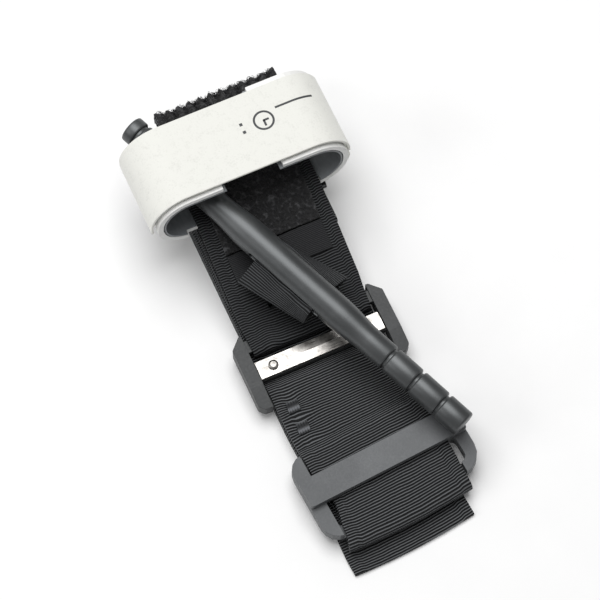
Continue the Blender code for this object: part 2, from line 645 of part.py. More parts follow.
def make_band():
    half = 0.5 * BAND_WIDTH
    near = FLEX_Y + 0.5 * FLEX_GAP
    far = FLEX_Y - 0.5 * FLEX_GAP
    turn = 0.5 * LAYER_PITCH
    fold = 0.5 * (16.6 - layer_z(8)) - 0.01
    # the sleeve's end folds under and runs to and fro down to the layer that feeds buckle one
    corners = [(SLEEVE_END_Y + 0.7, 16.6, 0.0), (69.6, 16.6, fold), (69.6, layer_z(8), fold)]
    folds = ((31.2, 8), (66.6, 7), (21.2, 6), (66.0, 5), (10.7, 4), (66.4, 3))
    for y, upper in folds:
        corners.append((y, layer_z(upper), turn - 0.01))
        corners.append((y, layer_z(upper - 1), turn - 0.01))
    corners += [(-15.6, layer_z(2), 3.0), (-19.0, BAND_OVER_BAR_Z, 3.0), (near, BAND_OVER_BAR_Z, 0.0)]
    stack = strip("band_stack", "black_webbing", filleted(corners, 5), BAND_THICK, -half, half,
                  drifting_band(3.6, BAND_X))
    under = [(near, layer_z(1), 0.0), (65.8, layer_z(1), turn - 0.01), (65.8, layer_z(0), turn - 0.01),
             (near, layer_z(0), 0.0)]
    bottom = strip("band_bottom", "black_webbing", filleted(under, 5), BAND_THICK, -half, half,
                   along_band(BAND_X))
    drop = 0.5 * (BAND_IN_BUCKLE2_Z - layer_z(1)) - 0.05
    lower = with_bend_steps([(far, BAND_OVER_BAR_Z, 0.0), (-37.4, BAND_OVER_BAR_Z, 2.0),
                             (-40.0, BAND_IN_BUCKLE2_Z, 2.0), (FOLD_Y, BAND_IN_BUCKLE2_Z, drop),
                             (FOLD_Y, layer_z(1), drop), (-36.9, layer_z(1), 0.0), (-34.9, layer_z(1), 0.0),
                             (-32.9, layer_z(1), 0.0), (-30.9, layer_z(1), 0.0), (far, layer_z(1), 0.0)])
    first = strip("band_lower", "black_webbing", filleted(lower, 5), BAND_THICK, -half, half,
                  along_lower_end)
    tail = with_bend_steps([(far, layer_z(0), 0.0), (BAND_END_Y, layer_z(0), 0.0)])
    second = strip("band_end", "black_webbing", filleted(tail), BAND_THICK, -half, half, along_lower_end)
    return stack, bottom, first, second


def make_bartacks():
    # close zigzag stitching near the band's left edge, one either side of the flex line
    size_x, size_y, height = 3.4, 3.8, 0.35
    made = []
    for name, y in (("bartack_upper", -25.6), ("bartack_lower", -32.6)):
        low_z = BAND_OVER_BAR_Z + 0.5 * BAND_THICK + GAP
        low = (-14.1 - 0.5 * size_x, y - 0.5 * size_y, low_z)
        high = (-14.1 + 0.5 * size_x, y + 0.5 * size_y, low_z + height)
        made.append(box(name, "black_webbing", low, high))
    return made


clear_scene()
make_clip()
make_clip_rivets()
make_strap()
make_sleeve()
make_plate()
make_patches()
make_ribbon()
make_rod()
make_ribbon_loop()
make_buckle_one()
make_steel_bar()
make_buckle_rivets()
make_buckle_two()
make_band()
make_bartacks()
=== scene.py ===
# A folded windlass tourniquet lying on a white table: woven band, sleeve, windlass rod, clip and buckles.
import bpy
import math
import random
from mathutils import Matrix, Vector


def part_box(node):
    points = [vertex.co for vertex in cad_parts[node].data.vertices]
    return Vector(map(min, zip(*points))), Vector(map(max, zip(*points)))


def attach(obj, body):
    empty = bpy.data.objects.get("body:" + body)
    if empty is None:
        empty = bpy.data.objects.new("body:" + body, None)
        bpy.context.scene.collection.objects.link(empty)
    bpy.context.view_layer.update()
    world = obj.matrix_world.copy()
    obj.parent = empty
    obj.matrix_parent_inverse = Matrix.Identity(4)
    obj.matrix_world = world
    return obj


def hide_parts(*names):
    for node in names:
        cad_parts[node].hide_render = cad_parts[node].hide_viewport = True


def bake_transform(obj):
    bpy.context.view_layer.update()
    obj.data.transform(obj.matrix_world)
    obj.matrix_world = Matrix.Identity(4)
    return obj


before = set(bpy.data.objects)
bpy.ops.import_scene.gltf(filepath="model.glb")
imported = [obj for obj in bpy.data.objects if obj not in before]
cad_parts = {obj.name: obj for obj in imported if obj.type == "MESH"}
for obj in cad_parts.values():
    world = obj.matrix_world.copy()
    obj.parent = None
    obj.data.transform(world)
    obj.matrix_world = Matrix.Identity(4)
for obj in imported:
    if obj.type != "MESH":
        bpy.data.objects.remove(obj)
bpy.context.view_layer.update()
mm = 0.001
originX, originY = -1.34, -3.09     # the frame's zero, in the millimetre layout the pieces are drawn in


def at(x, y, z):
    # layout millimetres to metres in the frame
    return Vector(((x - originX) * mm, (y - originY) * mm, z * mm))


# camera, floor and lights
camera = dict(azimuth=-24.35, elevation=66.8, distance=0.70, lens=147.5, target=(-0.32, 0.15, 15.0))


def addCamera():
    turn, lift = math.radians(camera["azimuth"]), math.radians(camera["elevation"])
    away = Vector((math.sin(turn) * math.cos(lift), -math.cos(turn) * math.cos(lift), math.sin(lift)))
    bpy.ops.object.camera_add(location=at(*camera["target"]) + camera["distance"] * away,
                              rotation=(math.pi / 2 - lift, 0, turn))
    made = bpy.context.object
    made.data.lens = camera["lens"]
    made.data.clip_start = 0.01
    bpy.context.scene.camera = made


addCamera()
print("camera placed")


def fromHex(code):
    # sRGB hex to linear
    values = []
    for start in (0, 2, 4):
        part = int(code[start:start + 2], 16) / 255
        values.append(part / 12.92 if part <= 0.04045 else ((part + 0.055) / 1.055) ** 2.4)
    return (*values, 1.0)


def newMaterial(name, colour, roughness, metallic=0.0):
    made = bpy.data.materials.new(name)
    made.use_nodes = True
    shader = made.node_tree.nodes["Principled BSDF"]
    shader.inputs["Base Color"].default_value = fromHex(colour)
    shader.inputs["Roughness"].default_value = roughness
    shader.inputs["Metallic"].default_value = metallic
    return made, shader


def node(tree, kind, settings=None, **links):
    # adds a node: settings are its own properties or constant sockets, links are sockets to join
    made = tree.nodes.new("ShaderNode" + kind)
    for name, value in (settings or {}).items():
        if hasattr(made, name):
            setattr(made, name, value)
        else:
            made.inputs[int(name) if name.isdigit() else name].default_value = value
    for name, source in links.items():
        socket = made.inputs[int(name[1:])] if name[1:].isdigit() else made.inputs[name.replace("_", " ")]
        tree.links.new(source, socket)
    return made


def ramp(tree, source, stops):
    made = node(tree, "ValToRGB", None, Fac=source)
    points = made.color_ramp.elements
    while len(points) < len(stops):
        points.new(0.5)
    for point, (place, colour) in zip(points, stops):
        point.position = place
        point.color = fromHex(colour) if isinstance(colour, str) else (colour, colour, colour, 1.0)
    return made.outputs[0]


def addFloor():
    floor, shader = newMaterial("paintedTable", "ffffff", 0.8)
    tree = floor.node_tree
    grain = node(tree, "TexNoise", {"Scale": 60.0, "Detail": 3.0},
                 Vector=node(tree, "TexCoord").outputs["Object"])
    tree.links.new(ramp(tree, grain.outputs[0], [(0.3, "fdfdfd"), (0.7, "ffffff")]),
                   shader.inputs["Base Color"])
    bpy.ops.object.select_all(action="DESELECT")
    bpy.ops.mesh.primitive_plane_add(size=6.0, location=(0, 0, 0))
    made = bpy.context.object
    made.name = "table"
    made.data.materials.append(floor)


lights = dict(overhead=(0.0, 0.2, 0.9, 0.8, 6.9), left=(-0.8, 0.1, 0.6, 0.5, 1.6), world=0.28)


def addLights():
    for name in ("overhead", "left"):
        x, y, z, size, power = lights[name]
        spot = Vector((x, y, z))
        aim = (-spot).to_track_quat("-Z", "Y").to_euler()
        bpy.ops.object.light_add(type="AREA", location=spot, rotation=aim)
        lamp = bpy.context.object
        lamp.name = name + "Softbox"
        lamp.data.shape = "DISK"
        lamp.data.size = size
        lamp.data.energy = power
    world = bpy.data.worlds.new("studio")
    bpy.context.scene.world = world
    world.use_nodes = True
    world.node_tree.nodes["Background"].inputs[0].default_value = (1, 1, 1, 1)
    world.node_tree.nodes["Background"].inputs[1].default_value = lights["world"]


addFloor()
addLights()
bpy.context.scene.view_settings.view_transform = "Standard"
print("floor and lights placed")


# materials
def ribbedWebbing(name, pitch, paintedGrooveShade, crest, bump, paintedCrestHighlight):
    # woven nylon grosgrain: cord-like ribs across the tape, with painted shade in the grooves between them
    # and a thin grey painted highlight on each crest; real threads are about 0.2 mm, drawn here at 0.6 mm
    # so that they show
    made, shader = newMaterial(name, crest, 0.62)
    tree = made.node_tree
    cloth = node(tree, "UVMap", {"uv_map": "UVMap"}).outputs[0]
    wobble = node(tree, "TexNoise", {"Scale": 0.12, "Detail": 2.0}, Vector=cloth).outputs[0]
    shift = node(tree, "Math", {"operation": "MULTIPLY_ADD", "1": 0.7, "2": -0.35}, _0=wobble).outputs[0]
    parts = node(tree, "SeparateXYZ", None, Vector=cloth)
    along = node(tree, "Math", {"operation": "ADD"}, _0=parts.outputs[1], _1=shift).outputs[0]
    turns = node(tree, "Math", {"operation": "MULTIPLY", "1": 2 * math.pi / pitch}, _0=along).outputs[0]
    wave = node(tree, "Math", {"operation": "COSINE"}, _0=turns).outputs[0]
    rib = node(tree, "Math", {"operation": "MULTIPLY_ADD", "1": 0.5, "2": 0.5}, _0=wave).outputs[0]
    across = node(tree, "Math", {"operation": "MULTIPLY", "1": 2 * math.pi / 0.6},
                  _0=parts.outputs[0]).outputs[0]
    thread = node(tree, "Math", {"operation": "SINE"}, _0=across).outputs[0]
    lint = node(tree, "TexNoise", {"Scale": 1.3, "Detail": 4.0, "Roughness": 0.7}, Vector=cloth).outputs[0]
    height = node(tree, "Math", {"operation": "MULTIPLY_ADD", "1": 0.07}, _0=thread, _2=rib).outputs[0]
    tall = node(tree, "Math", {"operation": "MULTIPLY_ADD", "1": 0.35}, _0=lint, _2=height).outputs[0]
    tone = node(tree, "Math", {"operation": "MULTIPLY_ADD", "1": 0.55, "2": -0.27}, _0=lint).outputs[0]
    level = node(tree, "Math", {"operation": "ADD"}, _0=rib, _1=tone).outputs[0]
    # the base colour ramp paints shade into the grooves and a highlight onto the rib crests
    tree.links.new(ramp(tree, level, [(0.15, paintedGrooveShade), (0.62, crest), (0.95, paintedCrestHighlight)]),
                   shader.inputs["Base Color"])
    tree.links.new(ramp(tree, lint, [(0.3, 0.5), (0.7, 0.75)]), shader.inputs["Roughness"])
    relief = node(tree, "Bump", {"Strength": 1.0, "Distance": bump}, Height=tall)
    tree.links.new(relief.outputs[0], shader.inputs["Normal"])
    shader.inputs["Specular IOR Level"].default_value = 0.22
    return made


def loopMat(name):
    # hook-and-loop fastener: a mat of tiny nylon loops, nearly black, with grey specks that are painted
    # highlights on the loop fibres
    made, shader = newMaterial(name, "0e0e0f", 0.75)
    tree = made.node_tree
    place = node(tree, "TexCoord").outputs["Object"]
    loops = node(tree, "TexVoronoi", {"Scale": 950.0, "Randomness": 1.0}, Vector=place).outputs[0]
    clump = node(tree, "TexNoise", {"Scale": 420.0, "Detail": 5.0, "Roughness": 0.75},
                 Vector=place).outputs[0]
    level = node(tree, "Math", {"operation": "MULTIPLY_ADD", "1": 0.45}, _0=loops, _2=clump).outputs[0]
    # the palest stop is painted highlight on single loop fibres
    tree.links.new(ramp(tree, level, [(0.5, "040405"), (0.78, "141416"), (1.0, "4e4e50")]),
                   shader.inputs["Base Color"])
    relief = node(tree, "Bump", {"Strength": 1.0, "Distance": 0.0009}, Height=level)
    tree.links.new(relief.outputs[0], shader.inputs["Normal"])
    tree.links.new(ramp(tree, clump, [(0.3, 0.6), (0.7, 0.9)]), shader.inputs["Roughness"])
    shader.inputs["Sheen Weight"].default_value = 0.15
    return made


def anodised(name):
    # bead-blasted and anodised aluminium: dark grey satin with one long soft highlight
    made, shader = newMaterial(name, "525455", 0.42, 0.75)
    tree = made.node_tree
    place = node(tree, "TexCoord").outputs["Object"]
    blast = node(tree, "TexNoise", {"Scale": 2600.0, "Detail": 3.0}, Vector=place).outputs[0]
    cloud = node(tree, "TexNoise", {"Scale": 55.0, "Detail": 3.0, "Roughness": 0.6},
                 Vector=place).outputs[0]
    tree.links.new(ramp(tree, cloud, [(0.3, "525455"), (0.7, "626465")]), shader.inputs["Base Color"])
    tree.links.new(ramp(tree, cloud, [(0.3, 0.38), (0.7, 0.47)]), shader.inputs["Roughness"])
    relief = node(tree, "Bump", {"Strength": 0.4, "Distance": 0.00004}, Height=blast)
    tree.links.new(relief.outputs[0], shader.inputs["Normal"])
    return made


def moulded(name, colour, light, roughness, grain, depth):
    # injection-moulded nylon with a spark-eroded grain: matte, slightly paler where it is handled
    made, shader = newMaterial(name, colour, roughness)
    tree = made.node_tree
    place = node(tree, "TexCoord").outputs["Object"]
    pits = node(tree, "TexNoise", {"Scale": 1000.0 / grain, "Detail": 3.0, "Roughness": 0.6},
                Vector=place).outputs[0]
    cloud = node(tree, "TexNoise", {"Scale": 70.0, "Detail": 4.0}, Vector=place).outputs[0]
    tree.links.new(ramp(tree, cloud, [(0.35, colour), (0.75, light)]), shader.inputs["Base Color"])
    tree.links.new(ramp(tree, pits, [(0.3, roughness - 0.06), (0.7, roughness + 0.08)]),
                   shader.inputs["Roughness"])
    relief = node(tree, "Bump", {"Strength": 0.5, "Distance": depth}, Height=pits)
    tree.links.new(relief.outputs[0], shader.inputs["Normal"])
    return made


def steel(name):
    # stamped and tumbled stainless steel: bright, with fine rolling lines and small scuffs
    made, shader = newMaterial(name, "bdbbb7", 0.3, 1.0)
    tree = made.node_tree
    place = node(tree, "TexCoord").outputs["Object"]
    drawn = node(tree, "Mapping", {"Scale": (0.06, 1.0, 1.0)}, Vector=place).outputs[0]
    lines = node(tree, "TexNoise", {"Scale": 2600.0, "Detail": 4.0}, Vector=drawn).outputs[0]
    scuff = node(tree, "TexNoise", {"Scale": 380.0, "Detail": 5.0, "Roughness": 0.7},
                 Vector=place).outputs[0]
    tree.links.new(ramp(tree, scuff, [(0.35, "8f8c88"), (0.62, "cfccc8")]), shader.inputs["Base Color"])
    tree.links.new(ramp(tree, lines, [(0.3, 0.24), (0.7, 0.42)]), shader.inputs["Roughness"])
    relief = node(tree, "Bump", {"Strength": 0.35, "Distance": 0.00006}, Height=scuff)
    tree.links.new(relief.outputs[0], shader.inputs["Normal"])
    return made


def whiteTape(name):
    # woven white polyester tape, brushed: soft, with a weave that only just shows
    made, shader = newMaterial(name, "e8e8e3", 0.85)
    tree = made.node_tree
    cloth = node(tree, "UVMap", {"uv_map": "UVMap"}).outputs[0]
    weave = node(tree, "TexVoronoi", {"Scale": 1.6, "Randomness": 0.75}, Vector=cloth).outputs[0]
    soft = node(tree, "TexNoise", {"Scale": 0.35, "Detail": 4.0}, Vector=cloth).outputs[0]
    level = node(tree, "Math", {"operation": "MULTIPLY_ADD", "1": 0.5}, _0=weave, _2=soft).outputs[0]
    tree.links.new(ramp(tree, level, [(0.4, "e0e0da"), (0.75, "eaeae4")]), shader.inputs["Base Color"])
    tree.links.new(ramp(tree, soft, [(0.3, 0.8), (0.7, 0.92)]), shader.inputs["Roughness"])
    relief = node(tree, "Bump", {"Strength": 0.5, "Distance": 0.00012}, Height=level)
    tree.links.new(relief.outputs[0], shader.inputs["Normal"])
    shader.inputs["Sheen Weight"].default_value = 0.2
    return made


# each webbing's colours: painted groove shade, the crest's own colour, painted crest highlight
webbing = ribbedWebbing("nylonGrosgrainWebbing", 0.78, "070708", "303133", 0.00028, "6c6e70")
ribbonCloth = ribbedWebbing("nylonRibbonTape", 0.62, "0a0a0b", "262729", 0.00018, "4a4c4e")
plainCloth = ribbedWebbing("plainWovenNylon", 0.5, "161617", "222325", 0.00006, "2e2f31")
# the sleeve's webbing is the band's webbing in darker colours: painted shade, as the sloping sleeve gets
# less light
sleeveWebPaintedShade = ribbedWebbing("nylonSleeveWebbingPaintedShade", 0.78, "060607", "262729", 0.00026, "505254")
thread = ribbedWebbing("polyesterThread", 0.4, "19191a", "2e2f31", 0.00004, "4a4b4d")
# the bar tacks' thread is drawn in paler colours than the stitches, with the same roughness
tack = ribbedWebbing("paleTackThread", 0.4, "2c2d2f", "4c4d4f", 0.00004, "707276")
loopPile = loopMat("nylonLoopPile")
# single loose threads of the pile catch the light, so they are paler than the mat
loopThread = moulded("nylonLoopThread", "1c1c1e", "38383a", 0.6, 0.6, 0.00002)
rodMetal = anodised("anodisedAluminium")
frameNylon = moulded("mouldedBlackNylon", "2f3132", "393b3c", 0.5, 0.55, 0.00006)
# buckle two's black nylon is coloured mid grey as painted sheen from the light on its top; the coarser
# grain bump is its own
grainedNylonPaintedSheen = moulded("grainedBlackNylonPaintedSheen", "5a5c5e", "686a6c", 0.56, 0.5, 0.00012)
linerNylon = moulded("mouldedGreyNylon", "7c8083", "888b8e", 0.5, 0.7, 0.00003)
clipNylon = moulded("mouldedWhiteNylon", "ececea", "f2f2f0", 0.4, 0.8, 0.00002)
barSteel = steel("stampedStainlessSteel")
strapTape = whiteTape("whiteWovenTape")
# flat, slightly worn ink
printInk = moulded("screenPrintInk", "3f4143", "4b4d4f", 0.6, 0.3, 0.00001)
print("materials made")

surfaces = {"windlass_clip": clipNylon, "clip_liner": linerNylon, "clip_rivet_left": barSteel,
            "clip_rivet_right": barSteel, "clip_hook_pad": clipNylon, "stiffener_plate": frameNylon,
            "buckle_one_frame": frameNylon, "buckle_two_frame": grainedNylonPaintedSheen,
            "buckle_one_steel_bar": barSteel, "buckle_one_rivet_left": barSteel,
            "buckle_one_rivet_right": barSteel}
for name, surface in surfaces.items():
    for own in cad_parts[name].material_slots:
        own.material = surface


# laying woven tape
def rounded(corners, steps):
    # corner points (y, z, radius) to a smooth line of (y, z), the same number of points each time
    line = [Vector(corners[0][:2])]
    for index in range(1, len(corners) - 1):
        before, here, after = (Vector(corners[index + k][:2]) for k in (-1, 0, 1))
        radius = corners[index][2]
        come, leave = (before - here).normalized(), (after - here).normalized()
        opening = math.acos(max(-1.0, min(1.0, come.dot(leave))))
        if radius <= 0 or opening > math.pi - 1e-4:
            line.append(here)
            continue
        reach = radius / math.tan(opening / 2)
        centre = here + (come + leave).normalized() * radius / math.sin(opening / 2)
        first = (here + come * reach) - centre
        last = (here + leave * reach) - centre
        sweep = math.atan2(first.x * last.y - first.y * last.x, first.dot(last))
        for step in range(steps + 1):
            angle = sweep * step / steps
            line.append(centre + Vector((first.x * math.cos(angle) - first.y * math.sin(angle),
                                         first.x * math.sin(angle) + first.y * math.cos(angle))))
    line.append(Vector(corners[-1][:2]))
    return line


def spaced(line, spacing):
    # extra points on the long straight runs, and the distance along at each point
    points = [line[0]]
    for start, end in zip(line, line[1:]):
        length = (end - start).length
        if length > 1e-6:
            parts = max(1, math.ceil(length / spacing))
            points += [start.lerp(end, part / parts) for part in range(1, parts + 1)]
    runs = [0.0]
    for start, end in zip(points, points[1:]):
        runs.append(runs[-1] + (end - start).length)
    return points, runs


def select(piece):
    bpy.ops.object.select_all(action="DESELECT")
    bpy.context.view_layer.objects.active = piece
    piece.select_set(True)


def finish(piece, **modifiers):
    # adds and applies modifiers in turn, then smooths the shading
    select(piece)
    for kind, settings in modifiers.items():
        made = piece.modifiers.new(kind, kind.upper())
        for key, value in settings.items():
            setattr(made, key, value)
        bpy.ops.object.modifier_apply(modifier=made.name)
    bpy.ops.object.shade_smooth_by_angle(angle=math.radians(40))


def layTape(name, width, thick, runs, columns, where, cloth, holes=None, edge=0.16, cloths=None, even=True):
    # a flat tape, cut as a grid, whose rows are then laid along a line; where(row, across) gives the
    # place of a point in layout millimetres, holes(row, across) says what is cut out, cloths(row,
    # across) gives the weave's own place, and the UV map keeps the flat cloth's millimetres
    bpy.ops.object.select_all(action="DESELECT")
    bpy.ops.mesh.primitive_grid_add(x_subdivisions=columns, y_subdivisions=len(runs) - 1, size=2)
    piece = bpy.context.object
    piece.name = name
    mesh = piece.data
    spots = [(round((v.co.y + 1) / 2 * (len(runs) - 1)), v.co.x * width / 2) for v in mesh.vertices]
    for vert, (row, across) in zip(mesh.vertices, spots):
        vert.co = at(*where(row, across))
    layer = mesh.uv_layers[0]
    layer.name = "UVMap"
    for loop in mesh.loops:
        row, across = spots[loop.vertex_index]
        layer.data[loop.index].uv = cloths(row, across) if cloths else (across, runs[row])
    if holes:
        bpy.ops.object.mode_set(mode="EDIT")
        bpy.ops.mesh.select_mode(type="FACE")
        bpy.ops.mesh.select_all(action="DESELECT")
        bpy.ops.object.mode_set(mode="OBJECT")
        for face in mesh.polygons:
            middle = [sum(spots[k][side] for k in face.vertices) / len(face.vertices) for side in (0, 1)]
            face.select = holes(*middle)
        bpy.ops.object.mode_set(mode="EDIT")
        bpy.ops.mesh.delete(type="FACE")
        bpy.ops.object.mode_set(mode="OBJECT")
    select(piece)
    bpy.ops.object.mode_set(mode="EDIT")
    bpy.ops.mesh.select_all(action="SELECT")
    bpy.ops.mesh.normals_make_consistent(inside=False)
    bpy.ops.object.mode_set(mode="OBJECT")
    mesh.materials.append(cloth)
    finish(piece, Solidify=dict(thickness=thick * mm, offset=0.0, use_even_offset=even),
           Bevel=dict(width=edge * mm, segments=2, limit_method="ANGLE", angle_limit=math.radians(60)))
    return piece


# the band: one long strap folded to and fro, through buckle one, round buckle two and back
band = dict(width=38.0, thick=1.25, low=0.65, pitch=1.6, gap=0.01, topZ=16.6, flexY=-28.9, flexHalf=2.0,
            yaw=4.0, bend=8.0, middle=0.3, drift=3.6, spacing=0.8, columns=30, seam=2.8, overBar=5.65,
            barY=-19.0, inBuckle=6.85, endY=-40.0, slotY=-56.0, foldY=-68.9, tailY=-75.2)
tacks = ((-13.9, -25.6), (-13.9, -32.6))
ribStep = 0.36      # how far the ribs step along the tape at a sewn edge


def bandLevel(number):
    return band["low"] + band["pitch"] * number


def bandCorners():
    # (y, z, radius) from the tape's top end, down the stack, out to the fold in buckle two and back
    turn = 0.5 * band["pitch"] - band["gap"]
    first = 0.5 * (band["topZ"] - bandLevel(8)) - band["gap"]
    corners = [(64.2, band["topZ"], 0), (69.6, band["topZ"], first), (69.6, bandLevel(8), first)]
    for y, upper in ((31.2, 8), (66.6, 7), (21.2, 6), (66.0, 5), (10.7, 4), (66.4, 3)):
        corners += [(y, bandLevel(upper), turn), (y, bandLevel(upper - 1), turn)]
    drop = 0.5 * (band["inBuckle"] - bandLevel(1)) - 0.05
    corners += [(-15.6, bandLevel(2), 3), (band["barY"], band["overBar"], 3), (-37.4, band["overBar"], 2),
                (band["endY"], band["inBuckle"], 2), (band["foldY"], band["inBuckle"], drop),
                (band["foldY"], bandLevel(1), drop), (65.8, bandLevel(1), turn), (65.8, bandLevel(0), turn),
                (band["tailY"], bandLevel(0), 0)]
    return corners


def onLowerEnd(x, y, z):
    # the lower end lies askew: it curves through the yaw just past the flex line
    run = band["flexY"] - y
    if run <= 0:
        return band["middle"] + x, y, z
    yaw = math.radians(band["yaw"])
    radius = band["bend"] / yaw
    bent = min(run, band["bend"])
    sine, cosine = math.sin(bent / radius), math.cos(bent / radius)
    return (band["middle"] + radius * (1 - cosine) + (run - bent) * sine + x * cosine,
            band["flexY"] - radius * sine - (run - bent) * cosine + x * sine, z)


def seamDip(across, half, seam, depth):
    # the cloth is drawn in along each stitched line
    away = abs(abs(across) - (half - seam))
    return -depth * math.exp(-(away / 0.55) ** 2)


def addBand():
    points, runs = spaced(rounded(bandCorners(), 10), band["spacing"])
    overBar = Vector((band["barY"], band["overBar"]))
    stackRun = next(run for run, point in zip(runs, points) if (point - overBar).length < 3.2)
    half = band["width"] / 2

    def upper(row):
        return points[row].y > 5.0 and points[row].x < -16

    def where(row, across):
        y, z = points[row]
        share = across / half
        if y < band["endY"]:
            # the ends bulge a little
            y -= 0.9 * (1 - share * share) * min(1, (band["endY"] - y) / 27.0) ** 2
            if z > 1.5:
                # drawn in at the left end of buckle two's slot, and wider again at the fold
                slot = math.exp(-((points[row].x - band["slotY"]) / 5.5) ** 2)
                across += slot * (2.0 * max(0, -share) ** 3 + 0.4 * share)
                across -= 0.9 * max(0, -share) ** 2 * min(1, max(0, (-65.8 - y) / 3.0))
            else:
                # the loose end lies further to the left
                across -= 2.4 * min(1, (band["endY"] - y) / 30.0)
        if upper(row):
            z += seamDip(across, half, band["seam"], 0.34)
            for tackX, tackY in tacks:
                away = ((across - tackX) ** 2 + (y - tackY) ** 2) / 2.2 ** 2
                z -= 0.35 * math.exp(-away)
        if runs[row] < stackRun:
            middle = band["drift"] + (band["middle"] - band["drift"]) * min(1, 1.4 * runs[row] / stackRun)
            return middle + across, y, z
        return onLowerEnd(across, y, z)

    def cloth(row, across):
        along = runs[row] + (ribStep if abs(across) > half - band["seam"] else 0.0)
        if upper(row):
            # the ribs are gathered towards each tack
            for tackX, tackY in tacks:
                gap = points[row].x - tackY
                along -= 0.55 * gap * math.exp(-((across - tackX) / 3.2) ** 2 - (gap / 3.0) ** 2)
        return across, along

    piece = layTape("foldedBand", band["width"], band["thick"], runs, band["columns"], where, webbing,
                    cloths=cloth)
    seams = addStitches("bandStitches", runs, where, half - band["seam"], 0.5 * band["thick"],
                        [k for k in range(len(runs)) if upper(k) and points[k].x > -70.0])
    for each in (piece, seams):
        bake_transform(each)
    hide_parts("band_stack", "band_bottom", "band_lower", "band_end")
    print("band laid,", round(runs[-1]), "mm long")
    return piece, seams, runs[-1]


def stitchShape():
    # one stitch: a short thread, plump in the middle and sunk at both ends
    bpy.ops.object.select_all(action="DESELECT")
    bpy.ops.mesh.primitive_cylinder_add(vertices=6, radius=0.16 * mm, depth=1.0 * mm,
                                        end_fill_type="TRIFAN", rotation=(math.pi / 2, 0, 0))
    made = bpy.context.object
    bpy.ops.object.transform_apply(location=False, rotation=True, scale=False)
    bpy.ops.object.mode_set(mode="EDIT")
    for place in (0.22, -0.22):
        bpy.ops.mesh.select_all(action="SELECT")
        bpy.ops.mesh.bisect(plane_co=(0, place * mm, 0), plane_no=(0, 1, 0))
    bpy.ops.object.mode_set(mode="OBJECT")
    for vert in made.data.vertices:
        if abs(vert.co.y) > 0.45 * mm:
            vert.co.x *= 0.5
            vert.co.z = vert.co.z * 0.5 - 0.18 * mm
    return made


def copies(name, shape, frames, cloth):
    # copies of one shape, each with its own mesh, joined into one piece
    made = []
    for place in frames:
        one = shape.copy()
        one.data = shape.data.copy()
        one.data.transform(place)
        bpy.context.collection.objects.link(one)
        made.append(one)
    bpy.data.objects.remove(shape, do_unlink=True)
    bpy.ops.object.select_all(action="DESELECT")
    for one in made:
        one.select_set(True)
        one.matrix_world = Matrix.Identity(4)
    bpy.context.view_layer.objects.active = made[0]
    bpy.ops.object.join()
    piece = bpy.context.object
    piece.name = name
    piece.data.materials.clear()
    piece.data.materials.append(cloth)
    bpy.ops.object.shade_smooth_by_angle(angle=math.radians(50))
    return piece


def frameOn(where, row, nextRow, across, lift):
    # the place, the direction along and the outward normal of a laid tape at one point
    here, ahead = at(*where(row, across)), at(*where(nextRow, across))
    side = at(*where(row, across + 0.5)) - at(*where(row, across - 0.5))
    along = (ahead - here).normalized()
    out = side.normalized().cross(along).normalized()
    if out.z < -0.2:
        out = -out
    side = along.cross(out)
    turn = Matrix((side, along, out)).transposed().to_4x4()
    return Matrix.Translation(here + out * lift * mm) @ turn


def addStitches(name, runs, where, offset, lift, rows, every=2.3):
    frames, last = [], -1e9
    for row in rows:
        if row + 1 >= len(runs) or runs[row] - last < every or runs[row + 1] - runs[row] < 1e-4:
            continue
        last = runs[row]
        for across in (-offset, offset):
            frames.append(frameOn(where, row, row + 1, across, lift - 0.12))
    return copies(name, stitchShape(), frames, thread)


def tackShape(length):
    # one pass of a bar tack: a flat bundle of thread, arched
    bpy.ops.object.select_all(action="DESELECT")
    bpy.ops.mesh.primitive_cylinder_add(vertices=8, radius=0.24 * mm, depth=length * mm,
                                        end_fill_type="TRIFAN", rotation=(math.pi / 2, 0, 0))
    made = bpy.context.object
    bpy.ops.object.transform_apply(location=False, rotation=True, scale=False)
    bpy.ops.object.mode_set(mode="EDIT")
    for share in (-0.35, 0.0, 0.35):
        bpy.ops.mesh.select_all(action="SELECT")
        bpy.ops.mesh.bisect(plane_co=(0, share * length * mm, 0), plane_no=(0, 1, 0))
    bpy.ops.object.mode_set(mode="OBJECT")
    for vert in made.data.vertices:
        ending = abs(vert.co.y) / (0.5 * length * mm)
        vert.co.z -= 0.3 * mm * ending ** 3
    return made


def addTacks():
    # nine passes of thread side by side, leaning to and fro by turns
    for name, cadNode, body in (("bartackUpperThreads", "bartack_upper", "folded_band"),
                                ("bartackLowerThreads", "bartack_lower", "lower_end")):
        low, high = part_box(cadNode)
        middle = 0.5 * (Vector(low) + Vector(high))
        frames = [Matrix.Translation(Vector((middle.x + (k - 4) * 0.38 * mm, middle.y, low[2] - 0.12 * mm)))
                  @ Matrix.Rotation(math.radians(3 if k % 2 else -3), 4, "Z") for k in range(9)]
        piece = copies(name, tackShape(3.4), frames, tack)
        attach(piece, body)
        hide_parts(cadNode)


bandPiece, bandSeams, bandLength = addBand()
addTacks()

# the sleeve: a doubled webbing that loops round buckle one's top bar and holds the ribbon
sleeve = dict(width=38.0, middle=0.4, thick=0.65, spacing=0.7, columns=38, seam=2.8, topZ=20.45,
              kneeY=30.4, topRun=74.0, slitY=4.2, slitHalf=0.9, slitReach=9.4)
slope = (sleeve["topZ"] - 9.0) / (sleeve["kneeY"] + 1.5)


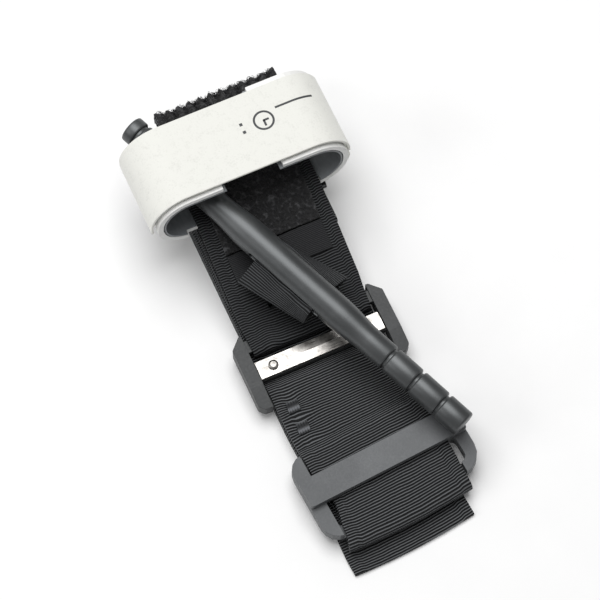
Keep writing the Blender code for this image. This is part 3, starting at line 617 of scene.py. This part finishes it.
def addSleeve():
    corners = [(63.5, 18.25, 0), (58.6, sleeve["topZ"], 6), (sleeve["kneeY"], sleeve["topZ"], 12),
               (-1.8, 8.95, 2), (-7.3, 8.7, 1.4),
               (-7.3, 5.15, 1.4), (-1.8, 5.2, 2), (30.0, 14.7, 12), (63.5, 14.7, 0)]
    points, runs = spaced(rounded(corners, 8), sleeve["spacing"])
    half = sleeve["width"] / 2

    def top(row):
        return row < len(points) and runs[row] < sleeve["topRun"]

    def gather(y):
        # the cloth is gathered towards buckle one
        return max(0.0, min(1.0, (3.0 - y) / 9.0))

    def where(row, across):
        y, z = points[row]
        pull = gather(y)
        across = across * (1 - 0.035 * pull)
        if top(row):
            z += seamDip(across, half, sleeve["seam"], 0.32)
            edge = max(0.0, (abs(across) / half - 0.45) / 0.55)
            z += pull * edge * 0.35 * math.sin(across * 1.55 + 0.6)
            z += 0.10 * math.sin(y * 0.42 + across * 0.11) * math.exp(-((y - 8) / 14) ** 2)
        return sleeve["middle"] - 0.1 * pull + across, y, z

    def slit(row, across):
        y = points[int(row)].x
        near = abs(y - sleeve["slitY"]) < sleeve["slitHalf"] and abs(across) < sleeve["slitReach"]
        return top(int(row)) and near

    def cloth(row, across):
        step = ribStep if abs(across) > half - sleeve["seam"] else 0.0
        left, right = (math.exp(-((across - spot) / 3.0) ** 2) for spot in (-13.5, 14.0))
        return across, runs[row] + (step + gather(points[row].x) * (1.1 * left + 0.5 * right))

    piece = layTape("sleeveWebbing", sleeve["width"], sleeve["thick"], runs, sleeve["columns"], where,
                    sleeveWebPaintedShade, holes=slit, cloths=cloth)
    shown = [k for k in range(len(runs)) if top(k) and -1.0 < points[k].x < 62.0]
    seams = addStitches("sleeveStitches", runs, where, half - sleeve["seam"], 0.5 * sleeve["thick"], shown)
    for each in (piece, seams):
        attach(each, "folded_band")
    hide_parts("sleeve_top", "sleeve_bottom", "sleeve_end_loop")
    print("sleeve laid,", round(runs[-1]), "mm long")


addSleeve()

# the hook-and-loop patch on the sleeve, and the plain piece below it
patch = dict(width=29.6, thick=0.95, lowY=20.3, highY=56.0, rise=1.15, columns=58, rough=0.22, loops=2200,
             loopSize=0.5, seed=11)
cover = dict(width=29.6, thick=0.45, lowY=11.5, highY=19.8, rise=0.88, columns=30)


def onSleeve(y, rise):
    # the height of a line that lies above the sleeve
    return sleeve["topZ"] + rise - max(0, sleeve["kneeY"] - y) * slope


def curlShape(size):
    # one loose pile loop: a bent thread of five small steps
    bpy.ops.object.select_all(action="DESELECT")
    bpy.ops.mesh.primitive_circle_add(vertices=3, radius=0.065 * mm, fill_type="NGON")
    made = bpy.context.object
    bpy.ops.object.mode_set(mode="EDIT")
    bpy.ops.mesh.select_mode(type="VERT")
    bpy.ops.mesh.select_all(action="SELECT")
    for step in range(5):
        bend = math.radians(18 + 34 * step)
        bpy.ops.mesh.extrude_region_move(TRANSFORM_OT_translate={
            "value": (size * 0.30 * mm * math.sin(bend), 0, size * 0.42 * mm * math.cos(bend))})
    bpy.ops.mesh.select_all(action="SELECT")
    bpy.ops.mesh.normals_make_consistent(inside=False)
    bpy.ops.object.mode_set(mode="OBJECT")
    return made


def addPatch():
    line = [(y, onSleeve(y, patch["rise"]), radius)
            for y, radius in ((patch["highY"], 0), (sleeve["kneeY"], 12), (patch["lowY"], 0))]
    points, runs = spaced(rounded(line, 10), 0.5)
    chance = random.Random(patch["seed"])
    bumps = {}

    def where(row, across):
        y, z = points[row]
        key = (row, round(across, 3))
        if key not in bumps:
            bumps[key] = chance.uniform(-patch["rough"], patch["rough"])
        return sleeve["middle"] + across, y, z + bumps[key]

    piece = layTape("hookPatchPile", patch["width"], patch["thick"], runs, patch["columns"], where,
                    loopPile, edge=0.1, even=False)
    frames = []
    for count in range(patch["loops"]):
        row = chance.randrange(1, len(runs) - 1)
        across = chance.uniform(-0.49, 0.49) * patch["width"]
        turn = Matrix.Rotation(chance.uniform(0, 2 * math.pi), 4, "Z")
        tilt = Matrix.Rotation(chance.uniform(-0.5, 0.5), 4, "X")
        frames.append(frameOn(where, row, row + 1, across, 0.3) @ turn @ tilt
                      @ Matrix.Scale(chance.uniform(0.7, 1.2), 4))
    curls = copies("hookPatchLoops", curlShape(patch["loopSize"]), frames, loopThread)
    for each in (piece, curls):
        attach(each, "folded_band")
    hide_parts("hook_patch")
    line = [(y, onSleeve(y, cover["rise"]), 0) for y in (cover["highY"], cover["lowY"])]
    points, runs = spaced(rounded(line, 2), 0.7)

    def coverPlace(row, across):
        y, z = points[row]
        return sleeve["middle"] + across, y, z + seamDip(across, cover["width"] / 2, 1.2, 0.12)

    piece = layTape("coverPatchCloth", cover["width"], cover["thick"], runs, cover["columns"], coverPlace,
                    plainCloth, edge=0.08)
    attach(piece, "folded_band")
    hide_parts("cover_patch")
    print("patches laid")


addPatch()

# the rod: turned bar with three double-shouldered grooves at each end and a slot for the ribbon
rod = dict(length=128.0, middle=(0.1, 4.7, 23.5), yaw=23.3, drop=5.9, radius=4.75, endRadius=4.0,
           fullHalf=16.8, taperHalf=28.5, slotLength=27.0, slotHeight=2.4, slotCorner=1.05, slotDepth=20.0,
           grooveWidth=0.95, grooveDepth=0.85, shoulder=0.4, lowGrooves=(8.3, 18.0, 27.7),
           clipGrooves=(3.8, 13.5, 23.2), segments=72)


def rodPlace():
    # local X runs along the rod from the clip end to the low end
    return (Matrix.Translation(at(*rod["middle"])) @ Matrix.Rotation(math.radians(rod["yaw"] - 90), 4, "Z")
            @ Matrix.Rotation(math.radians(rod["drop"]), 4, "Y"))


def rodRings():
    # (distance along, radius) of each ring of the turned shape
    end, small = rod["length"] / 2, rod["endRadius"]
    # how far in from the tip, and how much smaller, each ring of the rounded end is
    tip = ((0.0, 0.85), (0.08, 0.42), (0.28, 0.12), (0.62, 0.0))
    rings = [(-end + inward, small - less) for inward, less in tip]

    def grooved(place):
        half, lip = rod["grooveWidth"] / 2, rod["shoulder"]
        return [(place - half - lip - 0.12, small), (place - half - lip * 0.5, small - lip * 0.22),
                (place - half, small - lip * 0.7), (place - half * 0.85, small - rod["grooveDepth"]),
                (place + half * 0.85, small - rod["grooveDepth"]), (place + half, small - lip * 0.7),
                (place + half + lip * 0.5, small - lip * 0.22), (place + half + lip + 0.12, small)]

    for distance in rod["clipGrooves"]:
        rings += grooved(-end + distance)
    rise = rod["radius"] - small
    for side in (-1, 1):
        for step in (range(0, 13) if side < 0 else range(12, -1, -1)):
            part = step / 12
            rings.append((side * (rod["taperHalf"] - (rod["taperHalf"] - rod["fullHalf"]) * part),
                          small + rise * part * part * (3 - 2 * part)))
    for distance in reversed(rod["lowGrooves"]):
        rings += grooved(end - distance)
    return rings + [(end - inward, small - less) for inward, less in reversed(tip)]


def addRod():
    rings = rodRings()
    bpy.ops.object.select_all(action="DESELECT")
    bpy.ops.mesh.primitive_circle_add(vertices=rod["segments"], radius=rings[0][1] * mm, fill_type="TRIFAN",
                                      location=(0, 0, rings[0][0] * mm))
    piece = bpy.context.object
    bpy.ops.object.transform_apply(location=True, rotation=False, scale=False)
    piece.name = "windlassRod"
    bpy.ops.object.mode_set(mode="EDIT")
    bpy.ops.mesh.select_all(action="SELECT")
    for before, after in zip(rings, rings[1:]):
        rise = (after[0] - before[0]) * mm
        bpy.ops.mesh.extrude_region_move(TRANSFORM_OT_translate={"value": (0, 0, rise)})
        grow = after[1] / before[1]
        bpy.ops.transform.resize(value=(grow, grow, 1), center_override=(0, 0, after[0] * mm))
    bpy.ops.object.mode_set(mode="OBJECT")
    # the slot, cut by a stadium-shaped bar
    bpy.ops.object.select_all(action="DESELECT")
    bpy.ops.mesh.primitive_cube_add(size=1)
    cutter = bpy.context.object
    bpy.ops.object.mode_set(mode="EDIT")
    bpy.ops.transform.resize(value=(rod["slotHeight"] * mm, rod["slotDepth"] * mm, rod["slotLength"] * mm))
    bpy.ops.object.mode_set(mode="OBJECT")
    finish(cutter, Bevel=dict(width=rod["slotCorner"] * mm, segments=5, limit_method="ANGLE",
                              angle_limit=math.radians(80)))
    select(piece)
    cut = piece.modifiers.new("slot", "BOOLEAN")
    cut.object = cutter
    cut.operation = "DIFFERENCE"
    cut.solver = "EXACT"
    bpy.ops.object.modifier_apply(modifier=cut.name)
    bpy.data.objects.remove(cutter, do_unlink=True)
    select(piece)
    piece.matrix_world = rodPlace() @ Matrix.Rotation(math.radians(90), 4, "Y")
    bpy.ops.object.transform_apply(location=True, rotation=True, scale=True)
    piece.data.materials.append(rodMetal)
    finish(piece, Bevel=dict(width=0.12 * mm, segments=2, limit_method="ANGLE",
                             angle_limit=math.radians(50)))
    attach(piece, "windlass")
    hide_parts("windlass_rod")
    print("rod turned")


addRod()

# the ribbon: up through the sleeve's slit, folded out past the rod on both sides and back through its slot
ribbon = dict(width=21.6, thick=0.8, columns=32, spacing=0.5)


def addRibbonLoop():
    place = rodPlace()

    def cornersAt(across):
        # both flaps are folded a little askew
        left = max(-12.9, min(-7.6, -12.3 + 4.2 * (across + 9.6) / 18.7))
        right = max(5.6, min(11.9, 6.2 + 5.4 * (across + 7.6) / 17.9))
        return [(-1.2, -7.5, 0), (-3.0, -6.6, 0.5), (left, -4.7, 0.75), (-5.4, 0.0, 2.0),
                (5.2, 0.0, 1.6), (right, -4.3, 0.85), (3.0, -6.6, 0.5), (1.2, -7.5, 0)]

    base = rounded(cornersAt(0.0), 8)
    rows = []
    for start in range(len(base) - 1):
        parts = max(1, round((base[start + 1] - base[start]).length / ribbon["spacing"]))
        rows += [(start, part / parts) for part in range(parts)]
    rows.append((len(base) - 2, 1.0))
    runs = [0.0]
    spots = [base[k].lerp(base[k + 1], t) for k, t in rows]
    for before, after in zip(spots, spots[1:]):
        runs.append(runs[-1] + (after - before).length)
    lines = {}

    def where(row, across):
        key = round(across, 3)
        if key not in lines:
            lines[key] = rounded(cornersAt(across), 8)
        line = lines[key]
        k, t = rows[row]
        spot = line[k].lerp(line[k + 1], t)
        sag = 0.18 * math.sin(across * 0.8) * math.exp(-((runs[row] - runs[-1] / 2) / 14) ** 2)
        world = place @ (Vector((across, spot.x, spot.y + sag)) * mm)
        return world.x / mm + originX, world.y / mm + originY, world.z / mm

    piece = layTape("ribbonLoop", ribbon["width"], ribbon["thick"], runs, ribbon["columns"], where,
                    ribbonCloth, edge=0.14)
    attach(piece, "windlass")
    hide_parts("ribbon_loop")
    for name, cadNode, corners in (
            ("ribbonClipSide", "ribbon_clip_side",
             [(61.0, 15.55, 0), (30.0, 15.55, 12), (5.0, 7.9, 0.8), (5.0, 10.4, 0)]),
            ("ribbonBuckleSide", "ribbon_buckle_side", [(-0.9, 6.65, 0), (3.4, 7.5, 0.8), (3.4, 10.0, 0)])):
        points, runs = spaced(rounded(corners, 6), 0.8)

        def innerPlace(row, across):
            return sleeve["middle"] + across, points[row].x, points[row].y

        inner = layTape(name, ribbon["width"], 0.5, runs, 20, innerPlace, ribbonCloth, edge=0.08)
        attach(inner, "folded_band")
        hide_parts(cadNode)
    print("ribbon folded")


addRibbonLoop()

# the white strap over the clip, hinged at its sewn right side
strap = dict(thick=0.8, front=31.1, back=54.9, clipX=-1.0, clipWidth=59.0, clipHeight=22.0, clipBase=17.4,
             corner=10.4, hingeLift=0.7, topLift=1.4, spacing=0.6, columns=44, edge=0.25)


def strapLine(start, stop, lowLift, highLift):
    # (x, z) round the outside of the clip; 0 degrees is its widest line on the right, 180 on the left
    half = strap["clipWidth"] / 2 - strap["corner"]
    level = strap["clipBase"] + strap["clipHeight"] - strap["corner"]
    hinge = strap["clipBase"] + strap["clipHeight"] / 2
    points = []
    steps = max(2, round(abs(stop - start) / 4))
    for step in range(steps + 1):
        turn = start + (stop - start) * step / steps
        lift = lowLift + (highLift - lowLift) * min(1, max(0, turn / 60))
        radius = strap["corner"] + lift
        angle = math.radians(turn)
        rise = level - hinge if 0 <= turn <= 180 else hinge - level
        side = half if turn < 90 else -half
        if turn >= 90 and points and points[-1].x > strap["clipX"]:
            points.append(Vector((strap["clipX"] + half, hinge + rise + radius)))
            points.append(Vector((strap["clipX"] - half, hinge + rise + radius)))
            if turn == 90:
                continue
        points.append(Vector((strap["clipX"] + side + radius * math.cos(angle),
                              hinge + rise + radius * math.sin(angle))))
    return points


def addStrap():
    made = {}
    low, high = strap["hingeLift"], strap["topLift"]
    width = strap["back"] - strap["front"]
    for name, cadNode, body, line in (
            ("securingStrap", "securing_strap", "strap", strapLine(1.5, 186.0, low, high)),
            ("strapAnchor", "strap_anchor", "folded_band", strapLine(-2.5, -72.0, low, low))):
        points, runs = spaced(line, strap["spacing"])
        middle = (strap["back"] + strap["front"]) / 2

        def where(row, across):
            x, z = points[row]
            return x, middle + across, z

        piece = layTape(name, width, strap["thick"], runs, strap["columns"], where, strapTape,
                        edge=strap["edge"])
        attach(piece, body)
        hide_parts(cadNode)
        made[name] = (points, runs)
    print("strap laid")
    return made


strapLines = addStrap()

# a generic printed mark on the strap: a clock face and a line to write on
mark = dict(across=1.4, height=5.6, line=0.62, lift=0.03, thick=0.05, clockRun=27.5, dotsRun=34.0, dot=0.9,
            lineRun=(11.5, 23.0))


def onStrap(along, across):
    # a place on the strap's outer face: millimetres along it from its hinge, and across it
    points, runs = strapLines["securingStrap"]
    middle = (strap["front"] + strap["back"]) / 2 + across
    row = max(k for k, run in enumerate(runs) if run <= along)
    part = (along - runs[row]) / (runs[row + 1] - runs[row])
    start, end = (Vector((points[k].x, middle, points[k].y)) for k in (row, row + 1))
    direction = (end - start).normalized()
    out = Vector((direction.z, 0, -direction.x))
    return start.lerp(end, part) + out * (0.5 * strap["thick"] + mark["lift"])


def addMark():
    made = []
    bpy.ops.object.select_all(action="DESELECT")
    bpy.ops.mesh.primitive_torus_add(major_radius=0.5 * mark["height"], minor_radius=0.5 * mark["line"],
                                     major_segments=48, minor_segments=8)
    ring = bpy.context.object
    bpy.ops.object.mode_set(mode="EDIT")
    bpy.ops.transform.resize(value=(1, 1, 0.08))
    bpy.ops.object.mode_set(mode="OBJECT")
    made.append((ring, mark["clockRun"], 0.0))
    # (along, across, length, width) of the clock's hands, the two dots and the line
    strokes = [(mark["clockRun"] - 0.7, 0.0, 1.7, mark["line"]),
               (mark["clockRun"], 0.85, mark["line"], 2.0),
               (mark["dotsRun"], 1.3, mark["dot"], mark["dot"]),
               (mark["dotsRun"], -1.3, mark["dot"], mark["dot"]),
               (sum(mark["lineRun"]) / 2, -2.4, mark["lineRun"][1] - mark["lineRun"][0], mark["line"])]
    for along, across, long, wide in strokes:
        bpy.ops.object.select_all(action="DESELECT")
        bpy.ops.mesh.primitive_grid_add(x_subdivisions=max(2, round(long * 1.5)), y_subdivisions=2, size=1)
        one = bpy.context.object
        bpy.ops.object.mode_set(mode="EDIT")
        bpy.ops.mesh.select_all(action="SELECT")
        bpy.ops.transform.resize(value=(long, wide, 1))
        bpy.ops.object.mode_set(mode="OBJECT")
        finish(one, Solidify=dict(thickness=mark["thick"], offset=0.0))
        made.append((one, along, across))
    for one, along, across in made:
        for vert in one.data.vertices:
            lift = vert.co.z
            spot = onStrap(along + vert.co.x, mark["across"] - across - vert.co.y)
            ahead = onStrap(along + vert.co.x + 0.1, mark["across"] - across - vert.co.y)
            direction = (ahead - spot).normalized()
            vert.co = at(*(spot + Vector((direction.z, 0, -direction.x)) * lift))
    bpy.ops.object.select_all(action="DESELECT")
    for one, along, across in made:
        one.select_set(True)
    bpy.context.view_layer.objects.active = ring
    bpy.ops.object.join()
    ring.name = "strapMark"
    ring.data.materials.clear()
    ring.data.materials.append(printInk)
    select(ring)
    bpy.ops.object.mode_set(mode="EDIT")
    bpy.ops.mesh.select_all(action="SELECT")
    bpy.ops.mesh.normals_make_consistent(inside=False)
    bpy.ops.object.mode_set(mode="OBJECT")
    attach(ring, "strap")
    print("mark printed")


addMark()

# pile ridges round the band's top fold, behind the clip: rows of cut loops that stand out as tufts
tufts = dict(pitch=3.35, width=38.0, thick=0.7, ridge=1.5, rough=0.16, columns=92, seed=5, loops=3000,
             loopSize=1.1)


def addTufts():
    corners = [(58.2, 21.6, 0), (64.0, 19.2, 3), (70.4, 18.3, 1.3), (70.9, 14.5, 0.8), (70.7, 12.2, 0)]
    points, runs = spaced(rounded(corners, 8), 0.45)
    chance = random.Random(tufts["seed"])
    half = tufts["width"] / 2
    rough = {}

    def where(row, across):
        y, z = points[row]
        before, after = points[max(0, row - 1)], points[min(len(points) - 1, row + 1)]
        along = (after - before).normalized()
        out = Vector((-along.y, along.x))
        key = (row, round(across, 3))
        if key not in rough:
            rough[key] = chance.uniform(-tufts["rough"], tufts["rough"])
        lump = abs(math.cos(math.pi * across / tufts["pitch"])) ** 0.7
        edge = min(1, max(0, (half - abs(across)) / 3.0))
        fade = min(1, runs[row] / 4.0)
        lift = (tufts["ridge"] * lump * edge + rough[key]) * fade
        return band["drift"] + across, y - out.x * lift, z - out.y * lift

    piece = layTape("bandPile", tufts["width"], tufts["thick"], runs, tufts["columns"], where, loopPile,
                    edge=0.08, even=False)
    frames = []
    for count in range(tufts["loops"]):
        row = chance.randrange(4, len(runs) - 1)
        across = chance.uniform(-0.485, 0.485) * tufts["width"]
        if abs(math.cos(math.pi * across / tufts["pitch"])) < 0.45:      # none in the valleys
            continue
        turn = Matrix.Rotation(chance.uniform(0, 2 * math.pi), 4, "Z")
        tilt = Matrix.Rotation(chance.uniform(-0.6, 0.6), 4, "X")
        frames.append(frameOn(where, row, row + 1, across, 0.25) @ turn @ tilt
                      @ Matrix.Scale(chance.uniform(0.6, 1.25), 4))
    curls = copies("bandPileLoops", curlShape(tufts["loopSize"]), frames, loopThread)
    for each in (piece, curls):
        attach(each, "folded_band")
    print("pile ridges made")
    return piece, curls


pile, pileLoops = addTufts()
